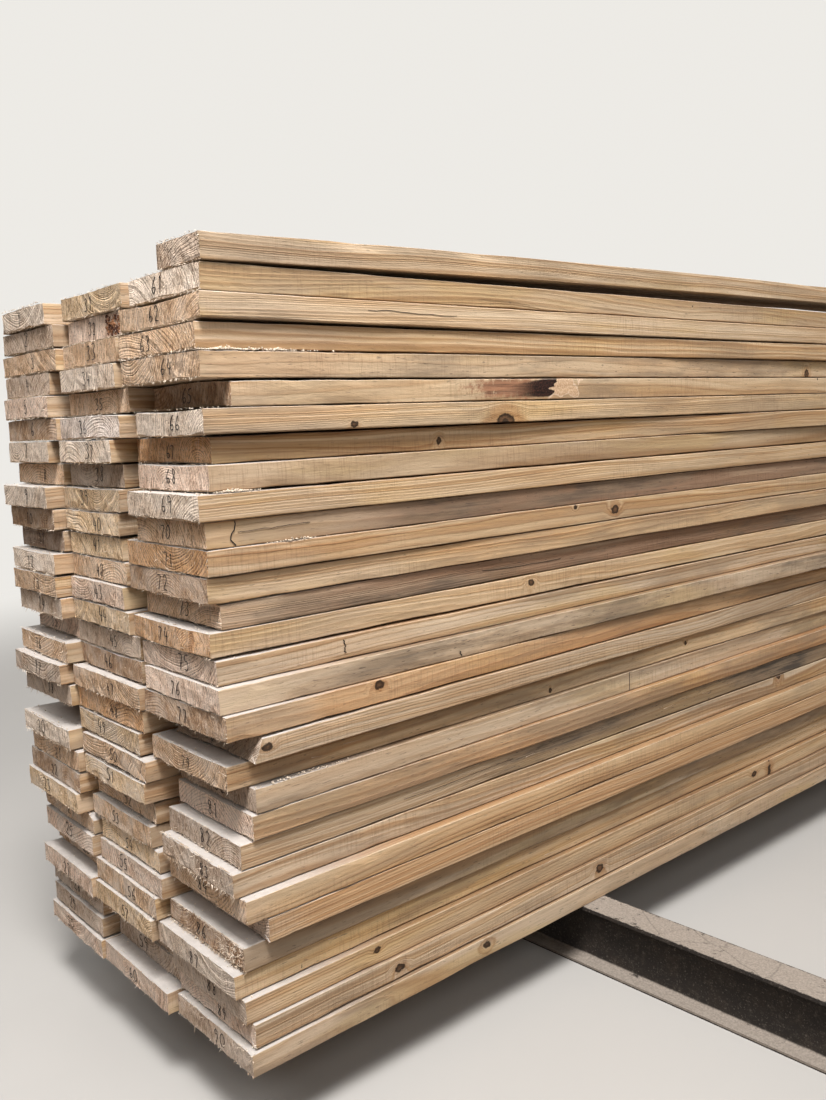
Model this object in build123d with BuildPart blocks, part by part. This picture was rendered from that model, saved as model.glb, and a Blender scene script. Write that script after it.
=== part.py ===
from build123d import *
from math import cos, radians, sin
import os

# A stack of sawn softwood boards, laid flat in three columns without spacers, on two steel
# bearers of I section. Millimetres. X runs along the boards, away from their near ends, Y across
# the stack from the right column to the left one, and Z up. The origin is on the floor, below
# the middle of the stack's length and of the bearers' length.

# Boards
board_length = 3900
board_width = 225
board_thickness = 38
arris = 2.5  # sawn edges are barely broken

# The single narrow board on top, which has dried into a bow
top_board_width = 120
top_board_back = 50
top_board_bow = 20

# One right board's near end is sawn out of square: its top edge stands back by this much
slanted_layer = 13
slant = 16

# Bearers: a light rolled I section
bearer_length = 1500
bearer_height = 120
flange_width = 64
flange_thickness = 6.3
web_thickness = 4.4
root_radius = 7
bearer_overhang = 650  # past the right column's face
near_bearer_inset = 795  # from the foremost board end to the bearer's middle
far_bearer_inset = 800  # from the hindmost board end
near_bearer_skew = 3  # degrees, as the near bearer lies a little askew

# One row for each full layer, from the bottom up. In a row, for the right, the middle and the
# left board: how far their near ends stand back from the foremost end of all; then how far the
# right board is pushed in from the face of its column, and the gaps from right to middle and
# from middle to left board; then how much wider each board is than most. Last is how many
# degrees the layer's boards are turned, with their far ends to the left.
layers = [
    ((45, 30, 25), (-15, 4, 3), (0, 10, 0), 0),
    ((55, 60, 30), (-10, 10, 4), (0, 0, -10), 0),
    ((45, 60, 35), (-5, 12, 4), (-5, 0, 0), 0),
    ((35, 25, 20), (5, 4, 3), (10, -10, -5), 0),
    ((50, 30, 50), (0, 8, 5), (0, 0, -5), 0),
    ((85, 35, 25), (-15, 6, 11), (0, 5, -15), 0),
    ((50, 40, 30), (-15, 14, 12), (5, -10, -5), 0),
    ((40, 35, 10), (0, 28, 9), (-10, -5, 0), 0),
    ((55, 45, 15), (0, 25, 5), (-10, -5, 0), 0),
    ((75, 25, 15), (-5, 18, 5), (-5, 0, -15), 0),
    ((80, 25, 5), (-5, 12, 14), (-5, 10, -20), 0.6),
    ((45, 30, 90), (8, 15, 4), (0, 5, -10), 0),
    ((75, 30, 15), (-15, 25, 4), (0, 15, -20), 0.85),
    ((35, 25, 0), (-12, 5, 5), (15, 20, -20), 0.8),
    ((35, 40, 15), (-3, 18, 4), (0, 5, -10), -0.2),
    ((40, 40, 45), (7, 8, 8), (0, 10, -35), 0),
    ((35, 35, 15), (12, 16, 4), (10, -10, -30), -0.15),
    ((55, 35, 10), (12, 40, 4), (0, -20, -25), 0),
    ((35, 40, 10), (10, 20, 4), (15, -15, -25), -0.35),
    ((35, 40, 30), (4, 30, 5), (20, -25, -30), 0),
    ((35, 35, 15), (5, 65, 4), (-20, -20, -25), 0),
    ((25, 35, 5), (0, 50, 4), (-10, -10, -25), 0),
    ((45, 45, 35), (4, 50, 6), (-15, -20, -15), 0),
    ((60, 25, 20), (20, 12, 30), (5, -20, -30), -0.85),
    ((40, 30, 25), (0, 35, 4), (-25, 0, 0), 0),
    ((85, 50, 20), (1, 12, 20), (0, 0, -20), 0),
    ((40, 35, 30), (2, 16, 35), (10, -20, -20), 0.2),
    ((40, 40, 30), (9, 4, 4), (10, -20, 25), -0.35),
    ((45, 50, 30), (0, 4, 15), (15, -25, 10), 0),
    ((50, 45, 25), (4, 15, 25), (-15, 0, -30), 0),
]

# Places that follow from the sizes above
deepest_back = max(max(backs) for backs, gaps, extras, turn in layers)
near_plane = -(board_length + deepest_back) / 2  # where the foremost board ends
far_plane = -near_plane  # where the hindmost board ends
right_face = -bearer_length / 2 + bearer_overhang
top_of_layers = bearer_height + len(layers) * board_thickness

os.makedirs("parts", exist_ok=True)


def board(near_end, right_side, underside, width, turn, slant):
    """One straight sawn board, added to the layer that is being built."""
    angle = radians(turn)
    # a turned board's left corner comes forward, and it is the foremost corner that stands
    # at the near end
    corner = (near_end + max(0, width * sin(angle)), right_side, underside)
    across = Plane(
        origin=corner, x_dir=(-sin(angle), cos(angle), 0), z_dir=(cos(angle), sin(angle), 0)
    )
    with BuildSketch(across) as section:
        with Locations((width / 2, board_thickness / 2)):
            Rectangle(width, board_thickness)
        chamfer(section.vertices(), arris)
    extrude(section.sketch, amount=board_length)
    if slant:
        along = Plane(
            origin=corner, x_dir=(cos(angle), sin(angle), 0), z_dir=(sin(angle), -cos(angle), 0)
        )
        with BuildSketch(along) as wedge:
            with BuildLine():
                Polyline((0, 0), (slant, board_thickness), (0, board_thickness), close=True)
            make_face()
        extrude(wedge.sketch, amount=-width, mode=Mode.SUBTRACT)


# The full layers
for number, row in enumerate(layers, start=1):
    backs, gaps, extras, turn = row
    underside = bearer_height + (number - 1) * board_thickness
    right_side = right_face + gaps[0]
    middle_side = right_side + board_width + extras[0] + gaps[1]
    left_side = middle_side + board_width + extras[1] + gaps[2]
    right_slant = slant if number == slanted_layer else 0
    with BuildPart() as layer:
        board(near_plane + backs[0], right_side, underside, board_width + extras[0], turn, right_slant)
        board(near_plane + backs[1], middle_side, underside, board_width + extras[1], turn, 0)
        board(near_plane + backs[2], left_side, underside, board_width + extras[2], turn, 0)
    layer.part.label = f"layer_{number:02d}"
    export_step(layer.part, f"parts/{layer.part.label}.step")

# The top board: a strip between two parallel arcs, whose ends rest on the layer below
top_near = near_plane + top_board_back
top_middle = top_near + board_length / 2
top_far = top_near + board_length
with BuildPart() as top_board:
    with BuildSketch(Plane.XZ.offset(-right_face)):
        with BuildLine():
            ThreePointArc(
                (top_near, top_of_layers),
                (top_middle, top_of_layers + top_board_bow),
                (top_far, top_of_layers),
            )
            Line((top_far, top_of_layers), (top_far, top_of_layers + board_thickness))
            ThreePointArc(
                (top_far, top_of_layers + board_thickness),
                (top_middle, top_of_layers + board_thickness + top_board_bow),
                (top_near, top_of_layers + board_thickness),
            )
            Line((top_near, top_of_layers + board_thickness), (top_near, top_of_layers))
        make_face()
    extrude(amount=-top_board_width)
    chamfer(top_board.edges().filter_by(GeomType.CIRCLE), arris)
top_board.part.label = f"layer_{len(layers) + 1:02d}"
export_step(top_board.part, f"parts/{top_board.part.label}.step")

# The bearers
skew = radians(near_bearer_skew)
near_bearer_plane = Plane(
    origin=(near_plane + near_bearer_inset, 0, 0),
    x_dir=(cos(skew), sin(skew), 0),
    z_dir=(sin(skew), -cos(skew), 0),
)
far_bearer_plane = Plane(
    origin=(far_plane - far_bearer_inset, 0, 0), x_dir=(1, 0, 0), z_dir=(0, -1, 0)
)
for label, plane in (("bearer_near", near_bearer_plane), ("bearer_far", far_bearer_plane)):
    with BuildPart() as bearer:
        with BuildSketch(plane) as section:
            with Locations((0, bearer_height / 2)):
                Rectangle(web_thickness, bearer_height - flange_thickness)
            with Locations(
                (0, flange_thickness / 2),
                (0, bearer_height - flange_thickness / 2),
            ):
                Rectangle(flange_width, flange_thickness)
            roots = section.vertices().filter_by(lambda corner: abs(corner.X) < web_thickness)
            fillet(roots, root_radius)
        extrude(amount=bearer_length / 2, both=True)
    bearer.part.label = label
    export_step(bearer.part, f"parts/{label}.step")
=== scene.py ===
# %% [markdown]
# # A stack of sawn softwood boards
# Ninety boards lie in thirty layers of three, with a narrow one on top, on two steel bearers.
# The CAD model fixes where every board lies and how large it is. This script dresses it: it
# makes each board again with cupped faces, worn arrises and rough ends, and gives it wood that
# has grain all the way through, dust, stains and a tally number.

# %% Load the CAD model
import math

import bpy
import numpy as np
from mathutils import Matrix, Vector


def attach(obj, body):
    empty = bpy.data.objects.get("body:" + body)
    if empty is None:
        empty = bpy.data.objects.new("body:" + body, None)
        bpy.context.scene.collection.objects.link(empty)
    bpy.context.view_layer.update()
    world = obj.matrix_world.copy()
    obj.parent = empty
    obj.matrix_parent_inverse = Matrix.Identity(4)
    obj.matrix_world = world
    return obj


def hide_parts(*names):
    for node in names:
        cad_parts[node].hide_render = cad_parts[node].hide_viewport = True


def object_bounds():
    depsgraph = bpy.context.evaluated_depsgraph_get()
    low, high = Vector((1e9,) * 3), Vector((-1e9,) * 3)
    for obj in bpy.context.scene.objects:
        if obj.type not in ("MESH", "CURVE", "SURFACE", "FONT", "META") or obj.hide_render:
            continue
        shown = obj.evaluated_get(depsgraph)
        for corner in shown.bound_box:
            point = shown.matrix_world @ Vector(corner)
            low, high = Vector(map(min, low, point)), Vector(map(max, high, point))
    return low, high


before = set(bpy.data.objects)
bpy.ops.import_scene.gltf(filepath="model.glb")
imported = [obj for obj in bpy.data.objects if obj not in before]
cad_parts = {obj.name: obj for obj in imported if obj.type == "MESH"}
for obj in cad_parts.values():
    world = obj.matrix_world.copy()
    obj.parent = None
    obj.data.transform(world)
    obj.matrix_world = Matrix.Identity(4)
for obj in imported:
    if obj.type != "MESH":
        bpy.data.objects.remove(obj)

cad_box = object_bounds()
print("the stack measures", [round(high - low, 3) for low, high in zip(*cad_box)])

# %% [markdown]
# Colours are easier to choose as they look on a screen, while a shader counts in linear light,
# so each colour is written the first way and turned into the second.

# %% Helpers for objects and colours
def colour(red, green, blue):
    """A colour as it looks on screen, turned into the linear values a shader reads."""
    def linear(value):
        return value / 12.92 if value <= 0.04045 else ((value + 0.055) / 1.055) ** 2.4
    return (linear(red), linear(green), linear(blue), 1.0)


def select_only(*objects):
    """Operators act on all that is selected, so nothing else may be."""
    bpy.ops.object.select_all(action="DESELECT")
    for each in objects:
        each.select_set(True)
    bpy.context.view_layer.objects.active = objects[0]


def copy_of(original, name):
    """A copy with a mesh of its own."""
    twin = original.copy()
    twin.data = original.data.copy()
    twin.name = name
    twin.data.name = name
    bpy.context.collection.objects.link(twin)
    return twin


def coordinates(thing):
    """The places of a mesh's vertices, as rows of three numbers."""
    places = np.empty(len(thing.data.vertices) * 3)
    thing.data.vertices.foreach_get("co", places)
    return places.reshape(-1, 3)


def put_coordinates(thing, places):
    """Moves a mesh's vertices to these places."""
    thing.data.vertices.foreach_set("co", places.ravel())
    thing.data.update()


def join(pieces, name):
    """Several objects as one, at the origin."""
    select_only(*pieces)
    if len(pieces) > 1:
        bpy.ops.object.join()
    whole = bpy.context.view_layer.objects.active
    whole.name = name
    whole.data.name = name
    return whole


# %% [markdown]
# The camera stands near the corner of the stack, a metre up, and looks along it with a short
# lens, so the near ends are large and the sides run away fast. It is a little tilted to one
# side, as a camera in the hand is.

# %% The camera
camera_place = Vector((-2.614, -1.288, 1.041))
camera_aim = Vector((0.6435, 0.7548, -0.1271)).normalized()
camera_roll = math.radians(2.21)

camera_data = bpy.data.cameras.new("camera")
camera_data.sensor_fit = "VERTICAL"
camera_data.sensor_height = 36
camera_data.lens = 32.86
camera_data.clip_end = 60
camera = bpy.data.objects.new("camera", camera_data)
bpy.context.collection.objects.link(camera)
level_right = camera_aim.cross(Vector((0, 0, 1))).normalized()
level_up = level_right.cross(camera_aim)
right = level_right * math.cos(camera_roll) - level_up * math.sin(camera_roll)
up = right.cross(camera_aim)
turn = Matrix((right, up, -camera_aim)).transposed()
camera.matrix_world = Matrix.Translation(camera_place) @ turn.to_4x4()
bpy.context.scene.camera = camera
bpy.context.scene.view_settings.view_transform = "Standard"
print("the camera is", round(camera_place.z, 2), "m up")

# %% [markdown]
# A shader is a net of nodes. These helpers add one node each and hand back its output, so that
# a finish below reads like a recipe.

# %% Helpers for materials
def feed(tree, socket, value):
    """Gives a socket either a plain value or another node's output."""
    if isinstance(value, bpy.types.NodeSocket):
        tree.links.new(value, socket)
    else:
        socket.default_value = value


def maths(tree, operation, first, second=0.0, third=0.0):
    """One sum of numbers."""
    node = tree.nodes.new("ShaderNodeMath")
    node.operation = operation
    feed(tree, node.inputs[0], first)
    feed(tree, node.inputs[1], second)
    feed(tree, node.inputs[2], third)
    return node.outputs[0]


def vectors(tree, operation, first, second=(0, 0, 0)):
    """One sum of vectors."""
    node = tree.nodes.new("ShaderNodeVectorMath")
    node.operation = operation
    feed(tree, node.inputs[0], first)
    feed(tree, node.inputs[1], second)
    return node.outputs["Value"] if operation in ("LENGTH", "DOT_PRODUCT") else node.outputs[0]


def remap(tree, value, low, high, to_low=0.0, to_high=1.0):
    """A smooth step from to_low to to_high, as value goes from low to high."""
    node = tree.nodes.new("ShaderNodeMapRange")
    node.interpolation_type = "SMOOTHSTEP"
    feed(tree, node.inputs["Value"], value)
    feed(tree, node.inputs["From Min"], low)
    feed(tree, node.inputs["From Max"], high)
    feed(tree, node.inputs["To Min"], to_low)
    feed(tree, node.inputs["To Max"], to_high)
    return node.outputs["Result"]


def blend(tree, amount, first, second, kind="MIX"):
    """Two colours mixed, or multiplied and so on."""
    node = tree.nodes.new("ShaderNodeMix")
    node.data_type = "RGBA"
    node.blend_type = kind
    feed(tree, node.inputs[0], amount)
    feed(tree, node.inputs[6], first)
    feed(tree, node.inputs[7], second)
    return node.outputs[2]


def noise(tree, vector, scale=1.0, detail=2.0, rough=0.5):
    """Soft random patches between 0 and 1."""
    node = tree.nodes.new("ShaderNodeTexNoise")
    feed(tree, node.inputs["Vector"], vector)
    node.inputs["Scale"].default_value = scale
    node.inputs["Detail"].default_value = detail
    node.inputs["Roughness"].default_value = rough
    return node.outputs["Fac"]


def attribute(tree, name):
    """What each board carries with it, by name."""
    node = tree.nodes.new("ShaderNodeAttribute")
    node.attribute_name = name
    return node


def parts(tree, vector):
    """The three numbers of a vector."""
    node = tree.nodes.new("ShaderNodeSeparateXYZ")
    feed(tree, node.inputs[0], vector)
    return node.outputs


def pair(tree, first, second):
    """A vector of two numbers."""
    node = tree.nodes.new("ShaderNodeCombineXYZ")
    feed(tree, node.inputs[0], first)
    feed(tree, node.inputs[1], second)
    return node.outputs[0]


# %% [markdown]
# Some steps come back in every finish: a tint that only darkens, the place of a point and the
# way it faces, relief, and the empty material that all of it goes into.

# %% Helpers for finishes
def dye(tree, amount, base, tint):
    """A colour multiplied by a tint, which darkens it, by this amount."""
    return blend(tree, amount, base, tint, "MULTIPLY")


def object_place(tree):
    """Where a point is on its own object."""
    return tree.nodes.new("ShaderNodeTexCoord").outputs["Object"]


def facing_of(tree):
    """Which way the surface looks, as three numbers."""
    return parts(tree, tree.nodes.new("ShaderNodeNewGeometry").outputs["Normal"])


def roughen(tree, shader, height, strength, depth):
    """Relief that is too fine to model."""
    bump = tree.nodes.new("ShaderNodeBump")
    bump.inputs["Strength"].default_value = strength
    bump.inputs["Distance"].default_value = depth
    feed(tree, bump.inputs["Height"], height)
    feed(tree, shader.inputs["Normal"], bump.outputs["Normal"])


def new_material(name, roughness):
    """An empty material with one shader."""
    material = bpy.data.materials.new(name)
    material.use_nodes = True
    shader = material.node_tree.nodes["Principled BSDF"]
    shader.inputs["Roughness"].default_value = roughness
    return material, material.node_tree, shader


def two_tone(name, roughness, pattern, edges, dark, light):
    """A material that wavers between two colours: pattern is the scale and the detail of a
    noise, and edges, if any, are the two values between which the colour changes."""
    material, tree, shader = new_material(name, roughness)
    share = noise(tree, object_place(tree), *pattern)
    if edges:
        share = remap(tree, share, *edges)
    feed(tree, shader.inputs["Base Color"], blend(tree, share, dark, light))
    return material


# %% [markdown]
# The floor is plain and pale. The light is that of a bright yard under a white sky: nearly all
# of it falls from above and from the near end, so ledges are nearly white, the sawn ends are
# bright, the long side is a little darker, and each overhang throws a soft brown shade.

# %% Floor, sky and lamps
backdrop = colour(0.93, 0.92, 0.90)

bpy.ops.object.select_all(action="DESELECT")
bpy.ops.mesh.primitive_plane_add(size=40, location=(0, 0, 0))
floor = bpy.context.object
floor.name = "floor"
floor_material, tree, shader = new_material("pale_floor", 0.9)
spot = object_place(tree)
patch = noise(tree, spot, 1.3, 4)
seen_floor = blend(tree, patch, colour(0.66, 0.655, 0.65), colour(0.70, 0.695, 0.69))
camera_sees = tree.nodes.new("ShaderNodeLightPath").outputs["Is Camera Ray"]
feed(tree, shader.inputs["Base Color"], blend(
    tree, camera_sees, colour(0.50, 0.47, 0.44), seen_floor))
glow = tree.nodes.new("ShaderNodeEmission")
glow.inputs["Color"].default_value = backdrop
fade = tree.nodes.new("ShaderNodeMixShader")
feed(tree, fade.inputs[0], maths(tree, "MULTIPLY", camera_sees, remap(
    tree, vectors(tree, "LENGTH", spot), 3.0, 5.5)))
tree.links.new(shader.outputs[0], fade.inputs[1])
tree.links.new(glow.outputs[0], fade.inputs[2])
tree.links.new(fade.outputs[0], tree.nodes["Material Output"].inputs["Surface"])
floor.data.materials.append(floor_material)

world = bpy.data.worlds.new("sky")
bpy.context.scene.world = world
world.use_nodes = True
tree = world.node_tree
tree.nodes["Background"].inputs["Color"].default_value = colour(1.0, 0.99, 0.97)
tree.nodes["Background"].inputs["Strength"].default_value = 0.05
seen = tree.nodes.new("ShaderNodeBackground")
seen.inputs["Color"].default_value = backdrop
path = tree.nodes.new("ShaderNodeLightPath")
either = maths(tree, "MAXIMUM", path.outputs["Is Camera Ray"], maths(
    tree, "MAXIMUM", path.outputs["Is Glossy Ray"], path.outputs["Is Transmission Ray"]))
choose = tree.nodes.new("ShaderNodeMixShader")
tree.links.new(either, choose.inputs[0])
tree.links.new(tree.nodes["Background"].outputs[0], choose.inputs[1])
tree.links.new(seen.outputs[0], choose.inputs[2])
tree.links.new(choose.outputs[0], tree.nodes["World Output"].inputs["Surface"])


def lamp(name, place, target, size, power):
    """A soft square lamp that looks at a point."""
    data = bpy.data.lights.new(name, "AREA")
    data.size = size
    data.energy = power
    data.color = colour(1.0, 0.985, 0.965)[:3]
    item = bpy.data.objects.new(name, data)
    item.location = place
    aim = Vector(target) - Vector(place)
    item.rotation_euler = aim.to_track_quat("-Z", "Y").to_euler()
    bpy.context.collection.objects.link(item)


lamp("overhead", (-2.8, -1.4, 4.6), (-1.4, 0.0, 0.6), 1.3, 330)
lamp("near_end", (-5.4, -1.3, 5.0), (-1.8, 0.1, 0.6), 3.0, 108)
lamp("right_side", (-1.4, -5.4, 4.6), (-0.5, 0.0, 0.6), 2.4, 92)
lamp("left_side", (0.2, 5.6, 3.4), (0.0, 0.0, 0.6), 3.0, 90)
lamp("far_end", (5.8, 1.6, 3.4), (1.6, 0.0, 0.6), 3.0, 80)
print("lit by", len(bpy.data.lights), "lamps and a faint sky")

# %% [markdown]
# ## Wood
# A board is a slice of a trunk, so its grain is worked out in the trunk: the attribute "log"
# tells every point how far it is along the trunk and where it is from the pith. The distance
# from the pith gives the year rings, pale in spring and brown in late summer. The same rings
# then show as arcs on an end and as long streaks on a side, and they meet at the arris, which
# no flat picture of wood does.
#
# What differs from board to board comes from other attributes: its tone on the side and on the
# ends, and three traits, which are the width of its rings, how stained it is, and how strongly
# its grain shows. The tone's fourth number says how dusty its top is.

# %% Where a point is in the log
wood, tree, shader = new_material("sawn_softwood", 0.86)
shader.inputs["Specular IOR Level"].default_value = 0.25
log = attribute(tree, "log").outputs["Vector"]
tone = attribute(tree, "tone")
end_tone = attribute(tree, "end_tone")
ring_width, stained, strength = parts(tree, attribute(tree, "traits").outputs["Vector"])
along, across, above = parts(tree, log)
from_pith = vectors(tree, "LENGTH", vectors(tree, "MULTIPLY", log, (0, 1, 1)))
angle = maths(tree, "ARCTAN2", above, across)


def patches(tree, squeeze, detail=2.0, rough=0.5):
    """Random patches in the wood, squeezed this much along, across and up the log."""
    return noise(tree, vectors(tree, "MULTIPLY", log, squeeze), 1.0, detail, rough)


# %% [markdown]
# Branches leave the pith like spokes. A pattern of cells over the length and the angle round
# the trunk gives each of them a place. Up to two more branches of a board have a place of
# their own, where the real board shows a knot. The rings bulge round every branch.

# %% Branches
branch_step = 0.42
branch_angle = 1.1
rim_wander = 0.009
no_branch = 0.78  # this share of the cells holds none
branch_growth = 0.05  # how thick the others get
bulge_reach = 3.2  # how many times its own size a branch pushes the rings aside

cells = tree.nodes.new("ShaderNodeTexVoronoi")
cells.voronoi_dimensions = "2D"
cells.inputs["Scale"].default_value = 1.0
feed(tree, cells.inputs["Vector"], pair(
    tree, maths(tree, "DIVIDE", along, branch_step), maths(tree, "DIVIDE", angle, branch_angle)))
branch_x, branch_turn, _ = parts(tree, cells.outputs["Position"])
chance, _, _ = parts(tree, cells.outputs["Color"])
to_branch = pair(
    tree, maths(tree, "SUBTRACT", along, maths(tree, "MULTIPLY", branch_x, branch_step)),
    maths(tree, "MULTIPLY", from_pith, maths(
        tree, "SUBTRACT", angle, maths(tree, "MULTIPLY", branch_turn, branch_angle))))
branch_size = maths(tree, "MULTIPLY", maths(tree, "MAXIMUM", maths(
    tree, "SUBTRACT", chance, no_branch), 0.0), branch_growth)
ragged = maths(tree, "MULTIPLY", maths(
    tree, "SUBTRACT", noise(tree, log, 110.0, 3, 0.6), 0.5), rim_wander)


def branch_at(tree, way, size):
    """How deep a point is inside a branch, and how far the rings are pushed aside there."""
    gap = maths(tree, "ADD", vectors(tree, "LENGTH", way), ragged)
    pushed = remap(tree, gap, maths(tree, "MULTIPLY", size, bulge_reach), 0.0)
    return maths(tree, "SUBTRACT", size, gap), maths(tree, "MULTIPLY", size, pushed)


inside, bulge = branch_at(tree, to_branch, branch_size)
for name in ("knot_a", "knot_b"):
    own_x, own_z, own_size = parts(tree, attribute(tree, name).outputs["Vector"])
    to_own = pair(tree, maths(tree, "MULTIPLY", maths(tree, "SUBTRACT", along, own_x), 0.7),
                  maths(tree, "SUBTRACT", above, own_z))
    own_inside, own_bulge = branch_at(tree, to_own, own_size)
    inside = maths(tree, "MAXIMUM", inside, own_inside)
    bulge = maths(tree, "ADD", bulge, own_bulge)
print("branches are looked for every", branch_step, "m of the log")

# %% [markdown]
# One board has a pocket of bark. Before it the wood is reddened, and past it a chip was torn
# off, which left a pale hollow. All three have frayed edges, so their outlines are pushed to
# and fro by the same noise.

# %% The pocket of bark
scar_x, scar_z, scar_here = parts(tree, attribute(tree, "scar").outputs["Vector"])
scar_x = maths(tree, "SUBTRACT", along, scar_x)
scar_z = maths(tree, "SUBTRACT", above, scar_z)
has_scar = maths(tree, "GREATER_THAN", scar_here, 0.5)
frayed = maths(tree, "MULTIPLY_ADD", noise(tree, log, 75.0, 4, 0.75), 2.6, -1.3)
shaky_x = maths(tree, "MULTIPLY_ADD", frayed, 0.008, scar_x)
shaky_z = maths(tree, "MULTIPLY_ADD", frayed, 0.003, scar_z)

# an oval of red: half its length, half its height, and how far before the pocket it lies
red_long, red_high, red_before = 0.095, 0.017, 0.085
red_reach = maths(tree, "ADD", frayed, vectors(tree, "LENGTH", pair(
    tree, maths(tree, "DIVIDE", maths(tree, "ADD", scar_x, red_before), red_long),
    maths(tree, "DIVIDE", scar_z, red_high))))
reddened = maths(tree, "MULTIPLY", remap(tree, red_reach, 1.3, 0.6), has_scar)

# a wedge of bark, which ends in notches
notched = maths(tree, "MULTIPLY_ADD", patches(tree, (15, 95, 95), 1), 0.10, maths(
    tree, "SUBTRACT", shaky_x, 0.052))
bark_top = maths(tree, "MULTIPLY_ADD", scar_x, 0.15, 0.018)
barky = has_scar
for share in (remap(tree, shaky_z, -0.019, -0.014),
              remap(tree, maths(tree, "SUBTRACT", bark_top, shaky_z), 0.0, 0.005),
              remap(tree, shaky_x, -0.11, -0.02),
              remap(tree, notched, 0.020, 0.016)):
    barky = maths(tree, "MULTIPLY", barky, share)

# the hollow of the chip: half its length, half its height, and where its middle is
chip_long, chip_high, chip_past, chip_above = 0.036, 0.017, 0.050, 0.001
chip_x = maths(tree, "DIVIDE", maths(tree, "ABSOLUTE", maths(
    tree, "SUBTRACT", scar_x, chip_past)), chip_long)
chip_z = maths(tree, "DIVIDE", maths(tree, "ABSOLUTE", maths(
    tree, "SUBTRACT", scar_z, chip_above)), chip_high)
chip_reach = maths(tree, "MULTIPLY_ADD", frayed, 0.5, maths(tree, "MAXIMUM", chip_x, chip_z))
chip_reach = maths(tree, "ADD", chip_reach, maths(
    tree, "MULTIPLY_ADD", noise(tree, log, 32.0, 2), 2.4, -1.2))
chipped = maths(tree, "MULTIPLY", remap(tree, chip_reach, 1.0, 0.95), has_scar)
chip_edge = maths(tree, "MULTIPLY", chipped, remap(tree, chip_reach, 0.80, 0.92))

# %% [markdown]
# The year rings sway slowly along the trunk and ripple a little, and the branches push them
# outwards. Good and bad years make them uneven. Within a year the wood darkens slowly and then
# turns pale at once, which a colour ramp over the fraction of the year gives.

# %% Year rings
sway = 0.045  # how far the rings stray along the trunk, in metres
ripple = 0.005
push = 1.4  # how far a branch pushes them, by its own size
unevenness = 1.6  # in years

radius = maths(tree, "MULTIPLY_ADD", patches(tree, (0.8, 6, 6)), sway, from_pith)
radius = maths(tree, "MULTIPLY_ADD", patches(tree, (5, 30, 30)), ripple, radius)
radius = maths(tree, "SUBTRACT", radius, maths(tree, "MULTIPLY", bulge, push))
years = maths(tree, "DIVIDE", radius, ring_width)
uneven = tree.nodes.new("ShaderNodeTexNoise")
uneven.noise_dimensions = "1D"
feed(tree, uneven.inputs["W"], years)
uneven.inputs["Scale"].default_value = 0.37
uneven.inputs["Detail"].default_value = 1.0
uneven = uneven.outputs["Fac"]
years = maths(tree, "MULTIPLY_ADD", uneven, unevenness, years)
season = tree.nodes.new("ShaderNodeValToRGB")
spring, summer = season.color_ramp.elements
spring.position, spring.color = 0.25, (0, 0, 0, 1)
summer.position, summer.color = 0.84, (1, 1, 1, 1)
season.color_ramp.elements.new(0.99).color = (0, 0, 0, 1)
feed(tree, season.inputs["Fac"], maths(tree, "FRACT", years))
late = maths(tree, "MULTIPLY", season.outputs["Color"], maths(tree, "MULTIPLY", uneven, 1.5))

# %% [markdown]
# The long faces get, one over the other, the late wood, wide warm streaks, fine fibres, the
# ticks across the grain that a bandsaw leaves, and a thin veil of grey dust. Mould comes last,
# as clouds that follow the grain and break up into short dark dashes. Most of these only
# darken what is below, so they multiply it.

# %% The long faces
fibre = patches(tree, (9, 330, 330), 4, 0.65)
streak = patches(tree, (1.3, 34, 34), 4, 0.6)
cloud = patches(tree, (2.6, 14, 14), 5, 0.65)
blush = patches(tree, (1.9, 11, 11), 3)
blotch = patches(tree, (7, 45, 45), 3, 0.6)
dashes = patches(tree, (55, 420, 420))
threads = patches(tree, (7, 260, 260), 3, 0.6)
teeth = patches(tree, (330, 25, 25), 3, 0.7)
sawn = remap(tree, patches(tree, (2.2, 8, 8)), 0.50, 0.62)
figure = remap(tree, uneven, 0.44, 0.60)

side = tone.outputs["Color"]
side = dye(tree, remap(tree, blush, 0.50, 0.66, 0.0, 0.8), side, colour(0.98, 0.94, 0.89))
side = dye(tree, remap(tree, blush, 0.46, 0.34, 0.0, 0.8), side, colour(1.0, 0.98, 0.88))
side = dye(tree, maths(tree, "MULTIPLY", late, maths(tree, "MULTIPLY", strength, 0.95)), side,
           colour(0.82, 0.71, 0.56))
side = dye(tree, maths(tree, "MULTIPLY", figure, strength), side, colour(0.89, 0.82, 0.71))
side = dye(tree, maths(tree, "MULTIPLY", strength, remap(tree, streak, 0.48, 0.70, 0.0, 0.3)),
           side, colour(0.84, 0.74, 0.59))
side = blend(tree, remap(tree, streak, 0.46, 0.28, 0.0, 0.25), side, colour(0.95, 0.87, 0.75))
side = dye(tree, remap(tree, fibre, 0.42, 0.68, 0.0, 0.3), side, colour(0.66, 0.58, 0.50))
side = dye(tree, maths(tree, "MULTIPLY", sawn, remap(tree, teeth, 0.48, 0.66, 0.0, 0.32)),
           side, colour(0.66, 0.57, 0.48))
side = blend(tree, remap(tree, cloud, 0.48, 0.68, 0.0, 0.3), side, colour(0.63, 0.55, 0.46))

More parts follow.
